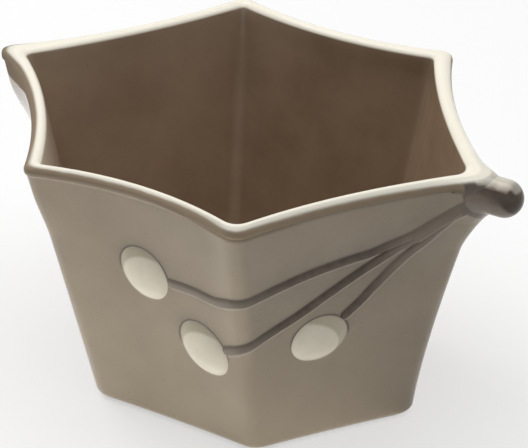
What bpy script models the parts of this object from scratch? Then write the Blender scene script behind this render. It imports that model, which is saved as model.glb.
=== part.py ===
"""Six-sided ceramic bowl with a branch stub at one corner and three berries in low relief.

Units are metres and +Z is up. The bowl stands on z = 0. Its long axis is X, with the branch
stub at the +X corner, and the berries are on the two walls beside the -Y, +X corner.
"""

import math

import bmesh
import bpy
from mathutils import Matrix, Vector

# Cup
BOWL_HEIGHT = 0.0970
WALL = 0.0044
FLOOR = 0.0070
FLOOR_FILLET = 0.0080

# Outer corners in plan, from the upright axis, counter-clockwise from the stub corner: the stub
# tip, two back corners, the plain tip, the side corner and the front corner
RIM_STUB_TIP = 0.0915
RIM_PLAIN_TIP = 0.0906
RIM_BACK = 0.0696
RIM_FRONT = 0.0695
FOOT_CORNERS = (
    (0.0665, 0.0), (0.0310, 0.0450), (-0.0310, 0.0450),
    (-0.0660, 0.0), (-0.0296, -0.0444), (0.0318, -0.0464),
)
RIM_CORNERS = (
    (RIM_STUB_TIP, 0.0), (0.0388, 0.0687), (-0.0402, RIM_BACK),
    (-RIM_PLAIN_TIP, 0.0), (-0.0384, -0.0677), (0.0381, -RIM_FRONT),
)

# The stub corner leans out at a power of the height, more steeply towards the rim
STUB_CORNER_LEAN = 1.28

# Towards the rim each corner is drawn out to a thick point, and the two tips rise or droop.
# This starts at the first depth below the rim and is complete at the second, and it dies away
# along the sides at a power of the distance to the next corner.
FLARE_START_DEPTH = 0.0300
FLARE_FULL_DEPTH = 0.0110
FLARE_FADE = 4
LIFT_FADE = 2
CORNER_FLARES = (0.0040, 0.0025, 0.0018, 0.0051, 0.0014, 0.0004)
CORNER_LIFTS = (0.0006, 0.0, 0.0, -0.0016, 0.0003, 0.0)

# The lip draws back over the stub's root, and the inner face is filled at that corner
STUB_LIP_RETREAT = 0.0032
STUB_CORNER_FILL = 0.0019

# How far each side bows inwards between its corners, from the stub corner's back side onwards
FOOT_BOW = 0.0006
RIM_BOWS = (0.0035, 0.0046, 0.0035, 0.0042, 0.0060, 0.0047)

# Rounding of the upright corners outside, and of each corner inside
FOOT_CORNER_RADIUS = 0.0095
RIM_CORNER_RADIUS = 0.0065
INNER_CORNER_RADII = (0.0100, 0.0035, 0.0035, 0.0035, 0.0040, 0.0100)

# Lip
LIP_HEIGHT = 0.0036
LIP_BEAD = 0.0006
LIP_OUTER_RADIUS = 0.0029
LIP_INNER_RADIUS = 0.0016

# Foot
FOOT_EDGE_RADIUS = 0.0030
FOOT_RING_WIDTH = 0.0060
FOOT_RECESS = 0.0015

# Relief pieces and the gap that each keeps to what it sits on
SEAT_GAP = 0.0003
STUB_RADIUS = 0.0062
STUB_DROP = 0.0058
STUB_REACH = 0.0100
STUB_ROOT_RADIUS = 0.0078
STUB_ROOT_DROP = 0.0068
STUB_ROOT_DEPTH = 0.0130
STUB_NECK_START = 0.0065
STUB_NECK_LENGTH = 0.0070
BRANCH_START_WIDTH = 0.0036
BRANCH_END_WIDTH = 0.0080
BRANCH_RISE = 0.0015
STEM_WIDTH = 0.0036
STEM_RISE = 0.0012
BERRY_RISE = 0.0036
BERRY_SINK = 0.0040

# Places on the two decorated walls: along is 0 at the front corner, 1 at the stub corner and
# -1 at the corner on the other side, and down is 0 at the rim and 1 at the foot
BRANCH_ROUTE = ((0.975, 0.080), (0.909, 0.101), (0.81, 0.168), (0.73, 0.224))
STEM_UPPER_ROUTE = (
    (0.66, 0.222), (0.50, 0.249), (0.30, 0.273), (0.09, 0.306),
    (-0.03, 0.326), (-0.14, 0.351), (-0.26, 0.349), (-0.39, 0.352),
)
STEM_MIDDLE_ROUTE = ((0.68, 0.250), (0.59, 0.292), (0.31, 0.420), (0.08, 0.492), (-0.10, 0.556))
STEM_LOWER_ROUTE = ((0.77, 0.246), (0.67, 0.320), (0.59, 0.384), (0.50, 0.480))

# Each berry: along, down, half length and half width where it meets the wall, and the turn of
# its length from level
BERRIES = {
    "berry_left": (-0.535, 0.346, 0.0106, 0.0086, -72.0),
    "berry_middle": (-0.243, 0.588, 0.0109, 0.0091, -65.0),
    "berry_right": (0.385, 0.559, 0.0102, 0.0091, 6.0),
}

# Facets
SIDE_STEPS = 8
CORNER_STEPS = 6
OUTER_STEPS = 15
INNER_STEPS = 5
ARC_STEPS = 4
STUB_STEPS = 8
STUB_SIDES = 28
SWEEP_SIDES = 14
ROUTE_STEPS = 6
BERRY_SEGMENTS = 28
BERRY_RINGS = 14

SHARP_ANGLE = 50.0
PROBE = 0.0010

CORNERS = len(RIM_CORNERS)
STUB_CORNER = 0
FRONT_CORNER = 5


def blend(low, high, share):
    """Straight blend between two values."""
    return low + (high - low) * share


def crossing(first, first_way, second, second_way):
    """Where two straight lines in the plan cross."""
    cross = first_way.x * second_way.y - first_way.y * second_way.x
    reach = (second - first).x * second_way.y - (second - first).y * second_way.x
    return first + first_way * (reach / cross)


def smooth_share(share):
    """A share held to 0 and 1 and eased at both ends."""
    share = min(max(share, 0.0), 1.0)
    return share * share * (3.0 - 2.0 * share)


def flare_share(height):
    """Share of the corners' flare and lift reached at a height: none low down, all at the rim."""
    start = BOWL_HEIGHT - FLARE_START_DEPTH
    full = BOWL_HEIGHT - FLARE_FULL_DEPTH
    return smooth_share((height - start) / (full - start))


def corners_at(height, outward):
    """The six sharp corners at a height, with every side moved out by the same distance."""
    shares = [height / BOWL_HEIGHT] * CORNERS
    shares[STUB_CORNER] = max(height / BOWL_HEIGHT, 0.0) ** STUB_CORNER_LEAN
    corners = [
        Vector(low).lerp(Vector(high), share) for low, high, share in zip(FOOT_CORNERS, RIM_CORNERS, shares)
    ]
    sides = [(corners[(k + 1) % CORNERS] - corners[k]).normalized() for k in range(CORNERS)]
    moved = []
    for k in range(CORNERS):
        before, after = sides[k - 1], sides[k]
        on_before = corners[k] + Vector((before.y, -before.x)) * outward
        on_after = corners[k] + Vector((after.y, -after.x)) * outward
        moved.append(crossing(on_before, before, on_after, after))
    return moved


def inner_share(outward):
    """How far a ring lies from the outer face towards the inner face, from 0 to 1."""
    return min(max(-outward / WALL, 0.0), 1.0)


def pulls_at(height, outward):
    """How far the flare and the lift move each corner at a height."""
    # the corners gain reach on the outer face only, so they end in thick points
    reaches = [reach * (1.0 - inner_share(outward)) for reach in CORNER_FLARES]
    full = BOWL_HEIGHT - FLARE_FULL_DEPTH
    lip_start = BOWL_HEIGHT - LIP_HEIGHT
    retreat = STUB_LIP_RETREAT * smooth_share((height - full) / (lip_start - full))
    reaches[STUB_CORNER] -= blend(retreat, STUB_CORNER_FILL, inner_share(outward))
    drawn = flare_share(height)
    flares = [Vector(spot).normalized() * reach * drawn for spot, reach in zip(RIM_CORNERS, reaches)]
    lifts = [lift * drawn for lift in CORNER_LIFTS]
    return flares, lifts


def bows_at(height):
    """Inward bow of the six sides at a height; side k runs from corner k to the next."""
    return [blend(FOOT_BOW, bow, height / BOWL_HEIGHT) for bow in RIM_BOWS]


def radii_at(height, outward):
    """Rounding of the six corners at a height."""
    outer = blend(FOOT_CORNER_RADIUS, RIM_CORNER_RADIUS, height / BOWL_HEIGHT) + max(outward, 0.0)
    return [blend(outer, inner, inner_share(outward)) for inner in INNER_CORNER_RADII]


def side_point(start, end, bow, share):
    """A point on a side that bows inwards, and the direction of travel there."""
    along = end - start
    inward = Vector((-along.y, along.x)).normalized()
    point = start + along * share + inward * (4.0 * bow * share * (1.0 - share))
    direction = along + inward * (4.0 * bow * (1.0 - 2.0 * share))
    return point, direction.normalized()


def ring(height, outward=0.0):
    """One level outline: six bowed sides with rounded corners, as a closed loop of points."""
    corners = corners_at(height, outward)
    bows = bows_at(height)
    radii = radii_at(height, outward)
    ends = []
    for k in range(CORNERS):
        following = (k + 1) % CORNERS
        start, end = corners[k], corners[following]
        length = (end - start).length
        before, after = corners[k - 1], corners[(k + 2) % CORNERS]
        trims = []
        ways = ((radii[k], start - before, end - start), (radii[following], end - start, after - end))
        for radius, way_in, way_out in ways:
            turn = way_in.angle(way_out)
            trims.append(radius * math.tan(turn / 2.0) / length)
        ends.append((trims[0], 1.0 - trims[1]))
    flares, lifts = pulls_at(height, outward)
    points = []
    for k in range(CORNERS):
        last, after = (k - 1) % CORNERS, (k + 1) % CORNERS
        p_in, way_in = side_point(corners[last], corners[k], bows[last], ends[last][1])
        p_out, way_out = side_point(corners[k], corners[after], bows[k], ends[k][0])
        apex = crossing(p_in, way_in, p_out, way_out)
        for step in range(CORNER_STEPS):
            share = step / CORNER_STEPS
            spot = p_in.lerp(apex, share).lerp(apex.lerp(p_out, share), share) + flares[k]
            points.append((spot.x, spot.y, height + lifts[k]))
        for step in range(SIDE_STEPS):
            share = step / SIDE_STEPS
            spot = side_point(corners[k], corners[after], bows[k], blend(*ends[k], share))[0]
            spot += flares[k] * (1.0 - share) ** FLARE_FADE + flares[after] * share ** FLARE_FADE
            rise = lifts[k] * (1.0 - share) ** LIFT_FADE + lifts[after] * share ** LIFT_FADE
            points.append((spot.x, spot.y, height + rise))
    return [Vector(point) for point in points]


def arc(centre_out, centre_height, radius, start, end):
    """Points of a rounding in the wall's section, as outward distance and height."""
    points = []
    for step in range(ARC_STEPS + 1):
        angle = math.radians(blend(start, end, step / ARC_STEPS))
        points.append((centre_out + radius * math.cos(angle), centre_height + radius * math.sin(angle)))
    return points


def outer_section(grow=0.0):
    """The wall's outer face from the foot's edge to the top of the lip."""
    section = arc(-FOOT_EDGE_RADIUS, FOOT_EDGE_RADIUS, FOOT_EDGE_RADIUS + grow, -90.0, 0.0)
    lip_start = BOWL_HEIGHT - LIP_HEIGHT
    for step in range(1, OUTER_STEPS + 1):
        section.append((grow, blend(FOOT_EDGE_RADIUS, lip_start, step / OUTER_STEPS)))
    section.append((LIP_BEAD + grow, lip_start + LIP_BEAD))
    lip_out = LIP_BEAD - LIP_OUTER_RADIUS
    section += arc(lip_out, BOWL_HEIGHT - LIP_OUTER_RADIUS, LIP_OUTER_RADIUS + grow, 0.0, 90.0)
    return section


def inner_section():
    """The inner face from the top of the lip to the floor."""
    section = arc(
        -WALL + LIP_INNER_RADIUS, BOWL_HEIGHT - LIP_INNER_RADIUS, LIP_INNER_RADIUS, 90.0, 180.0
    )
    fillet_top = FLOOR + FLOOR_FILLET
    for step in range(1, INNER_STEPS):
        section.append((-WALL, blend(BOWL_HEIGHT - LIP_INNER_RADIUS, fillet_top, step / INNER_STEPS)))
    section += arc(-WALL - FLOOR_FILLET, fillet_top, FLOOR_FILLET, 0.0, -90.0)
    return section


def foot_section():
    """The underside from its recessed middle to the foot ring's outer edge."""
    ring_inner = -FOOT_EDGE_RADIUS - FOOT_RING_WIDTH
    return [(ring_inner - FOOT_RECESS, FOOT_RECESS), (ring_inner, 0.0)]


def loft(loops, first_point=None, last_point=None):
    """A closed mesh through loops of points, each end closed to a point or by one face."""
    shape = bmesh.new()
    rows = [[shape.verts.new(point) for point in loop] for loop in loops]
    count = len(loops[0])
    for low, high in zip(rows, rows[1:]):
        for k in range(count):
            after = (k + 1) % count
            shape.faces.new((low[k], low[after], high[after], high[k]))
    for row, point, flip in ((rows[0], first_point, True), (rows[-1], last_point, False)):
        if point is None:
            shape.faces.new(row[::-1] if flip else row)
            continue
        middle = shape.verts.new(point)
        for k in range(count):
            pair = (row[k], row[(k + 1) % count])
            shape.faces.new((middle, pair[1], pair[0]) if flip else (middle, pair[0], pair[1]))
    bmesh.ops.recalc_face_normals(shape, faces=shape.faces)
    return shape


def add_object(name, shape, material):
    """Turn a bmesh into a named object with a smooth surface and sharp creases."""
    mesh = bpy.data.meshes.new(name)
    shape.to_mesh(mesh)
    shape.free()
    mesh.shade_smooth()
    mesh.set_sharp_from_angle(angle=math.radians(SHARP_ANGLE))
    thing = bpy.data.objects.new(name, mesh)
    bpy.context.scene.collection.objects.link(thing)
    thing.parent = AXIS
    if material is not None:
        mesh.materials.append(material)
    return thing


def add_cutter(name, shape):
    """A guide solid that only takes material away from its neighbours."""
    cutter = add_object(name, shape, None)
    cutter.hide_render = True
    cutter.display_type = "WIRE"
    return cutter


def cut(thing, cutter):
    """Take a cutter's volume away from a piece."""
    modifier = thing.modifiers.new(cutter.name, "BOOLEAN")
    modifier.operation = "DIFFERENCE"
    modifier.solver = "EXACT"
    modifier.object = cutter


def glaze(name, colour, roughness):
    """A glazed ceramic surface of one colour."""
    material = bpy.data.materials.new(name)
    material.use_nodes = True
    shader = material.node_tree.nodes["Principled BSDF"]
    shader.inputs["Base Color"].default_value = (*colour, 1.0)
    shader.inputs["Roughness"].default_value = roughness
    shader.inputs["Metallic"].default_value = 0.0
    return material


def wall_point(along, down):
    """A point on the decorated walls, with the direction that faces out of the wall there."""

    def on_ring(height):
        loop = ring(height)
        per_corner = CORNER_STEPS + SIDE_STEPS
        middle = CORNER_STEPS // 2
        front = FRONT_CORNER * per_corner + middle
        stretch = [loop[(front + k) % len(loop)] for k in range(per_corner + 1)]
        if along < 0.0:
            stretch = [loop[front - k] for k in range(per_corner + 1)]
        lengths = [(b - a).length for a, b in zip(stretch, stretch[1:])]
        left = abs(along) * sum(lengths)
        for k, length in enumerate(lengths):
            if left <= length or k == len(lengths) - 1:
                way = (stretch[k + 1] - stretch[k]).normalized()
                return stretch[k] + way * left, way if along >= 0.0 else -way
            left -= length

    height = BOWL_HEIGHT * (1.0 - down)
    point, way = on_ring(height)
    rise = on_ring(height + PROBE)[0] - on_ring(height - PROBE)[0]
    return point, way.cross(rise).normalized()


def smooth_route(route):
    """Places along a smooth curve through a route's own points."""
    places = [Vector(place) for place in route]
    padded = [places[0] * 2.0 - places[1], *places, places[-1] * 2.0 - places[-2]]
    curve = []
    for k in range(1, len(padded) - 2):
        a, b, c, d = padded[k - 1:k + 3]
        for step in range(ROUTE_STEPS):
            t = step / ROUTE_STEPS
            curve.append(
                0.5 * (2.0 * b + (c - a) * t + (2.0 * a - 5.0 * b + 4.0 * c - d) * t * t
                       + (3.0 * b - a - 3.0 * c + d) * t ** 3)
            )
    curve.append(places[-1])
    return curve


def sweep(route, start_width, end_width, rise, grow=0.0):
    """A rounded ridge along a route on the wall, half sunk behind its face, with a domed far end."""
    seats = [wall_point(place.x, place.y) for place in smooth_route(route)]
    last = len(seats) - 1
    stations = []
    for k, (point, facing) in enumerate(seats):
        ahead = (seats[min(k + 1, last)][0] - seats[max(k - 1, 0)][0]).normalized()
        stations.append((point, ahead, facing, blend(start_width, end_width, k / last) / 2.0, 1.0))
    point, ahead, facing, half, _ = stations[-1]
    for step in range(1, ARC_STEPS):
        angle = math.radians(blend(0.0, 90.0, step / ARC_STEPS))
        stations.append((point + ahead * half * math.sin(angle), ahead, facing, half, math.cos(angle)))
    loops = []
    for spot, way, out, width, size in stations:
        across = way.cross(out).normalized()
        loop = []
        for step in range(SWEEP_SIDES):
            angle = math.tau * step / SWEEP_SIDES
            side = (width + grow) * size * math.cos(angle)
            loop.append(spot + across * side + out * (rise + grow) * size * math.sin(angle))
        loops.append(loop)
    return loft(loops, None, point + ahead * (half + grow))


def berry(along, down, half_length, half_width, turn, grow=0.0):
    """An egg-shaped dome, sunk a little behind the wall's face."""
    point, facing = wall_point(along, down)
    level = Vector((0.0, 0.0, 1.0)).cross(facing).normalized()
    upward = facing.cross(level)
    length_way = level * math.cos(math.radians(turn)) + upward * math.sin(math.radians(turn))
    width_way = facing.cross(length_way)
    frame = Matrix((length_way, width_way, facing)).transposed().to_4x4()
    depth = BERRY_RISE + BERRY_SINK
    spread = depth / math.sqrt(depth ** 2 - BERRY_SINK ** 2)
    size = (half_length * spread + grow, half_width * spread + grow, depth + grow)
    place = Matrix.Translation(point - facing * BERRY_SINK) @ frame @ Matrix.Diagonal((*size, 1.0))
    shape = bmesh.new()
    bmesh.ops.create_uvsphere(
        shape, u_segments=BERRY_SEGMENTS, v_segments=BERRY_RINGS, radius=1.0, matrix=place
    )
    return shape


def stub(grow=0.0):
    """A short round branch end that tapers out of the stub corner to a dome."""
    tip = RIM_CORNERS[STUB_CORNER][0]
    root = tip - STUB_ROOT_DEPTH
    end = tip + STUB_REACH
    dome = end - STUB_RADIUS
    spine = []
    for step in range(STUB_STEPS):
        reach = blend(root, dome, step / STUB_STEPS)
        share = smooth_share((reach - tip + STUB_NECK_START) / STUB_NECK_LENGTH)
        drop = blend(STUB_ROOT_DROP, STUB_DROP, share)
        spine.append((reach, drop, blend(STUB_ROOT_RADIUS, STUB_RADIUS, share)))
    for step in range(2 * ARC_STEPS):
        angle = math.radians(blend(0.0, 90.0, step / (2 * ARC_STEPS)))
        spine.append((dome + STUB_RADIUS * math.sin(angle), STUB_DROP, STUB_RADIUS * math.cos(angle)))
    loops = []
    for reach, drop, radius in spine:
        loop = []
        for step in range(STUB_SIDES):
            angle = math.tau * step / STUB_SIDES
            side = (radius + grow) * math.cos(angle)
            rise = (radius + grow) * math.sin(angle)
            loop.append(Vector((reach, side, BOWL_HEIGHT - drop + rise)))
        loops.append(loop)
    return loft(loops, None, Vector((end + grow, 0.0, BOWL_HEIGHT - STUB_DROP)))


def bowl_body():
    """The cup: outer wall, lip, inner wall, floor and a recessed foot."""
    section = foot_section() + outer_section() + inner_section()
    loops = [ring(height, outward) for outward, height in section]
    return loft(loops, Vector((0.0, 0.0, FOOT_RECESS)), Vector((0.0, 0.0, FLOOR)))


def bowl_envelope():
    """The cup's outer form grown by the seat gap, and carried up over its mouth."""
    section = outer_section(SEAT_GAP)
    loops = [ring(height, outward) for outward, height in section]
    above = Vector((0.0, 0.0, STUB_ROOT_RADIUS))
    return loft([*loops, [point + above for point in loops[-1]]])


for leftover in list(bpy.data.objects):
    bpy.data.objects.remove(leftover, do_unlink=True)

AXIS = bpy.data.objects.new("bowl_axis", None)
bpy.context.scene.collection.objects.link(AXIS)

taupe = glaze("taupe_glaze", (0.24, 0.19, 0.14), 0.16)
bark = glaze("bark_glaze", (0.085, 0.070, 0.060), 0.14)
cream = glaze("cream_glaze", (0.58, 0.54, 0.44), 0.18)

body = add_object("bowl_body", bowl_body(), taupe)
envelope = add_cutter("envelope_cutter", bowl_envelope())

pieces = {"branch_stub": add_object("branch_stub", stub(), bark)}
stub_cutter = add_cutter("stub_cutter", stub(SEAT_GAP))

berry_cutters = {}
for name, place in BERRIES.items():
    pieces[name] = add_object(name, berry(*place), cream)
    berry_cutters[name] = add_cutter(name + "_cutter", berry(*place, SEAT_GAP))

branch_sizes = (BRANCH_START_WIDTH, BRANCH_END_WIDTH, BRANCH_RISE)
stem_sizes = (STEM_WIDTH, STEM_WIDTH, STEM_RISE)
pieces["branch_fork"] = add_object("branch_fork", sweep(BRANCH_ROUTE, *branch_sizes), bark)
cut(pieces["branch_fork"], stub_cutter)
earlier = [add_cutter("fork_cutter", sweep(BRANCH_ROUTE, *branch_sizes, SEAT_GAP))]
for name, route, fruit in (
    ("stem_upper", STEM_UPPER_ROUTE, "berry_left"),
    ("stem_middle", STEM_MIDDLE_ROUTE, "berry_middle"),
    ("stem_lower", STEM_LOWER_ROUTE, "berry_right"),
):
    pieces[name] = add_object(name, sweep(route, *stem_sizes), bark)
    for cutter in (*earlier, berry_cutters[fruit]):
        cut(pieces[name], cutter)
    earlier.append(add_cutter(name + "_cutter", sweep(route, *stem_sizes, SEAT_GAP)))

for piece in pieces.values():
    cut(piece, envelope)

# Centre the whole on its own box, standing on z = 0
spots = [vertex.co for vertex in body.data.vertices]
stub_end = RIM_CORNERS[STUB_CORNER][0] + STUB_REACH
AXIS.location.x = -(min(spot.x for spot in spots) + stub_end) / 2.0
AXIS.location.y = -(min(spot.y for spot in spots) + max(spot.y for spot in spots)) / 2.0
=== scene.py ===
import functools
import math

import bpy
import numpy as np
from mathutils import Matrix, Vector


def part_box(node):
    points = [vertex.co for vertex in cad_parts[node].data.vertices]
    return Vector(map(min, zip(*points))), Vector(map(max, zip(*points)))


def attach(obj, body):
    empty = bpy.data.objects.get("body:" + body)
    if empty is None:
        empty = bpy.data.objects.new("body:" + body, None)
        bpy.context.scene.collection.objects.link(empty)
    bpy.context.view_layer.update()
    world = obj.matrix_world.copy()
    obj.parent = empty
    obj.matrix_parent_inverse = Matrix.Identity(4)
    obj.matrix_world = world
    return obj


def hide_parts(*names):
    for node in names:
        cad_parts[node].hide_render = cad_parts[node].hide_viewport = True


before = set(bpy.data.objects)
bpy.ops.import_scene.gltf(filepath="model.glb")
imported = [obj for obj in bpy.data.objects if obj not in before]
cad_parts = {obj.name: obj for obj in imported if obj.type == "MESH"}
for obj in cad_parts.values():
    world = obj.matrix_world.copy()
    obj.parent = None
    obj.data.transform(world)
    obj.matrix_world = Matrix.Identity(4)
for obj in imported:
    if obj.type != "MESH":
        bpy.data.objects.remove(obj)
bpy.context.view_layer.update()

# Sizes of the cup in metres; corners run anticlockwise from the stub's, and each side starts at its corner
BOWL_HEIGHT = 0.0970
WALL = 0.0044
FLOOR = 0.0070
FLOOR_FILLET = 0.0080
FOOT_CORNERS = (
    (0.0665, 0.0), (0.0310, 0.0450), (-0.0310, 0.0450),
    (-0.0660, 0.0), (-0.0296, -0.0444), (0.0318, -0.0464),
)
RIM_CORNERS = (
    (0.0915, 0.0), (0.0388, 0.0687), (-0.0402, 0.0696),
    (-0.0906, 0.0), (-0.0384, -0.0677), (0.0381, -0.0695),
)
STUB_CORNER_LEAN = 1.28
FLARE_START_DEPTH = 0.0300
FLARE_FULL_DEPTH = 0.0110
FLARE_FADE = 4
LIFT_FADE = 2
CORNER_FLARES = (0.0040, 0.0025, 0.0018, 0.0051, 0.0014, 0.0004)
CORNER_LIFTS = (0.0006, 0.0, 0.0, -0.0016, 0.0003, 0.0)
STUB_LIP_RETREAT = 0.0032
STUB_CORNER_FILL = 0.0019
FOOT_BOW = 0.0006
RIM_BOWS = (0.0035, 0.0046, 0.0035, 0.0042, 0.0060, 0.0047)
FOOT_CORNER_RADII = (0.0085, 0.0090, 0.0090, 0.0090, 0.0095, 0.0080)
RIM_CORNER_RADII = (0.0065, 0.0065, 0.0065, 0.0065, 0.0065, 0.0105)
INNER_CORNER_RADII = (0.0100, 0.0035, 0.0035, 0.0035, 0.0040, 0.0100)
LIP_HEIGHT = 0.0036
LIP_BEAD = 0.0006
LIP_OUTER_RADIUS = 0.0029
LIP_INNER_RADIUS = 0.0016
FOOT_EDGE_RADIUS = 0.0030
FOOT_RING_WIDTH = 0.0060
FOOT_RECESS = 0.0015
BARE_FOOT_HEIGHT = 0.0002
CORNERS = len(RIM_CORNERS)
STUB_CORNER = 0
FRONT_CORNER = 5

# Branch end
STUB_RADIUS = 0.0062
STUB_DROP = 0.0058
STUB_REACH = 0.0100
STUB_ROOT_RADIUS = 0.0078
STUB_ROOT_DROP = 0.0068
STUB_ROOT_START = 0.0190
STUB_NECK_START = 0.0065
STUB_NECK_LENGTH = 0.0070
STUB_TIP = RIM_CORNERS[STUB_CORNER][0]
STUB_DOME = STUB_TIP + STUB_REACH - STUB_RADIUS
STUB_TOP_REACH = (-0.0080, -0.0020)
STUB_TOP_SPARE = 0.0010
STUB_BURIED = 0.0012
STUB_SUNK_STEPS = 6
STUB_SUNK_SHARE = 0.35
STUB_SEARCH = 0.25
BURIED_STEP = 0.0005

# Branch and stems on the wall: places along it, from the front corner to the next on either side, and down it
BRANCH_START_WIDTH = 0.0036
BRANCH_END_WIDTH = 0.0064
BRANCH_RISE = 0.0011
STEM_WIDTH = 0.0036
STEM_RISE = 0.0009
RIDGE_FLATNESS = 4
RELIEF_SINK = 0.0006
BRANCH_ROUTE = ((0.975, 0.080), (0.898, 0.097), (0.850, 0.131), (0.796, 0.173), (0.762, 0.200))
STEM_ROUTES = {
    "stem_upper": (
        (0.69, 0.211), (0.58, 0.240), (0.50, 0.249), (0.30, 0.273), (0.09, 0.306),
        (-0.03, 0.326), (-0.14, 0.351), (-0.26, 0.349), (-0.39, 0.352),
    ),
    "stem_middle": ((0.70, 0.238), (0.595, 0.292), (0.31, 0.420), (0.08, 0.492), (-0.10, 0.556)),
    "stem_lower": ((0.769, 0.258), (0.695, 0.328), (0.614, 0.401), (0.576, 0.436), (0.51, 0.483)),
}
# Stems run on into the branch so that they part from it smoothly
STEM_LEADS = {
    "stem_upper": ((0.777, 0.174), (0.736, 0.195)),
    "stem_middle": ((0.788, 0.195), (0.748, 0.219)),
    "stem_lower": ((0.862, 0.132), (0.828, 0.188), (0.803, 0.226)),
}

# Berries: place along and down the wall, half length, half width and turn in degrees
BERRY_RISE = 0.0036
BERRY_SINK = 0.0040
BERRIES = {
    "berry_left": (-0.535, 0.346, 0.0106, 0.0086, -72.0),
    "berry_middle": (-0.243, 0.588, 0.0109, 0.0091, -65.0),
    "berry_right": (0.385, 0.559, 0.0102, 0.0091, 6.0),
}
# How far the unshaded glaze of each berry lies short of its upper end, along the wall and up it, leaving
# painted shade there
BERRY_SHADE_SHIFT = {
    "berry_left": (-0.0020, 0.0026), "berry_middle": (-0.0022, 0.0028), "berry_right": (0.0048, 0.0018),
}
BERRY_SHADE_EDGE = (0.98, 1.06)

# Points along a side and round a corner: few to place the relief, many for the visible walls
PLACING = ((8,) * CORNERS, 6)
VISIBLE = ((90, 40, 40, 40, 150, 160), 24)

# Levels and steps of the fine meshes
LOWER_STEPS = 34
UPPER_STEPS = 150
RELIEF_LOWEST = 0.0260
INNER_STEPS = 36
ARC_STEPS = 12
BEAD_STEPS = 6
FOOT_ROWS = 2 + ARC_STEPS + 1
CREST_ROW = FOOT_ROWS + LOWER_STEPS + UPPER_STEPS + BEAD_STEPS - 1 + ARC_STEPS
STUB_STEPS = 40
STUB_SIDES = 96
SWEEP_SIDES = 36
ROUTE_STEPS = 12
BERRY_RINGS = 30
BERRY_SIDES = 96
PROBE = 0.0010
FAR = 1.0
TINY = 1e-6

# Glaze that runs into the corners between the wall and the relief
SKIRT_RISE = 0.00012
SKIRT_REACH = 0.0004
STUB_FILLET = 0.0040
STUB_FILLET_REACH = 0.0070
STUB_FILLET_STEPS = 71
STUB_FILLET_INSET = 0.00012
STUB_FILLET_DIVE = 0.12
STUB_FILLET_LIP = 0.45

# Values round the rim: on the six sides, at the six corners, and the share of a side where they blend
NO_SIDES = (0.0,) * CORNERS
ROUND_RIM = {
    # How far up the lip's outer rounding the cream starts, and how much painted shade darkens it outside the
    # crest
    "cream": ((0.45, 0.55, 0.55, 0.84, 0.73, 0.49), (0.48, 0.50, 0.55, 0.72, 0.80, 0.56), 0.15),
    "lip_shade": ((0.0, 0.25, 0.25, 0.40, 1.0, 1.0), (0.5, 0.10, 0.25, 0.35, 0.80, 1.0), 0.20),
    # How deep the band of painted shade under the cream is, how much darker painted shade lies over it, and
    # how dark the painted shade in the fold at its lower edge is
    "under_lip_shade": (
        (0.0036, 0.0036, 0.0036, 0.0050, 0.0023, 0.0042),
        (0.0036, 0.0036, 0.0036, 0.0095, 0.0023, 0.0050),
        0.45,
    ),
    "deep": ((0.0, 0.0, 0.0, 0.30, 0.0, 0.0), (0.0, 0.0, 0.0, 0.45, 0.15, 0.0), 0.45),
    "fold": ((0.25, 0.25, 0.25, 0.25, 0.12, 0.40), (0.25, 0.25, 0.25, 0.25, 0.15, 0.35), 0.15),
    # How much painted light lies down from the rim inside, how dark the painted shade just under the rim is,
    # and painted highlight streaks in the corners
    "run": ((0.0, 0.0, 0.10, 0.70, 0.0, 0.0), (0.0, 0.0, 0.10, 0.22, 1.0, 0.0), 0.45),
    "shade": ((0.15, 0.55, 0.10, 0.0, 0.0, 0.0), (0.0, 0.80, 0.45, 0.10, 0.0, 0.0), 0.30),
    "streak": (NO_SIDES, (0.0, 0.05, 0.09, 0.0, 0.0, 0.0), 0.03),
    # How strong the painted highlight over the front corner is
    "corner_highlight": (NO_SIDES, (0.0, 0.0, 0.0, 0.0, 0.0, 1.0), 0.13),
}

# Glaze round the rim: waves in the cream's edge as size, rate and start, and where the cream, the painted
# shade, the painted light and the painted highlight change
CREAM_WAVES = ((0.010, 17.0, 0.0), (0.008, 41.0, 1.3), (0.006, 83.0, 0.4))
CREAM_SOFT = 0.16
CREAM_INSIDE = 0.3
LIP_SHADE_SPAN = (1.02, 0.86)
UNDER_LIP_SHADE_SOFT = 0.0006
FOLD_ABOVE = 0.0004
FOLD_REACH = 0.0007
PAINTED_LIGHT_DEPTH = 0.0320
SHADE_DEPTH = 0.0050
SHADE_REACH = 0.0045
HIGHLIGHT_ALONG = (0.05, 0.0)
HIGHLIGHT_HEIGHTS = (0.020, 0.060)

# Dark wash with painted shadow above the berries, painted shade in creases, and painted highlight lines round
# the relief: strengths, and how far they reach
STEM_WASH = 0.25
STEM_WASH_REACH = 0.0012
FORK_WASH = 0.60
UPPER_WASH_REACH = 0.0150
UPPER_WASH_MOST = 0.52
UPPER_WASH_START = 0.06
LOWER_WASH_REACH = 0.0080
HALO = 0.45
HALO_REACH = 0.0019
HALO_CHANGE = 2.0
STEM_CREASE = 0.6
CREASE_REACH = 0.0004
CREASE_CHANGE = 3.0
CREASE_ROUND = 0.6
LINE_OFF = 0.0004
LINE_REACH = 0.0003

# Bark glaze on the wall round the stub: where it starts, as depth and place along, and its lower edge
BARK_START = ((0.010, 0.895), (0.087, 0.898), (0.110, 0.888))
BARK_DOWN = ((0.88, 0.098), (0.908, 0.118), (0.941, 0.133), (1.0, 0.155))
BARK_SOFT = 0.006
BARK_TOP = (0.0022, 0.0038)
SEAM_SOFT = 0.0005
SEAM_ALONG = (0.84, 0.86)

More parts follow.
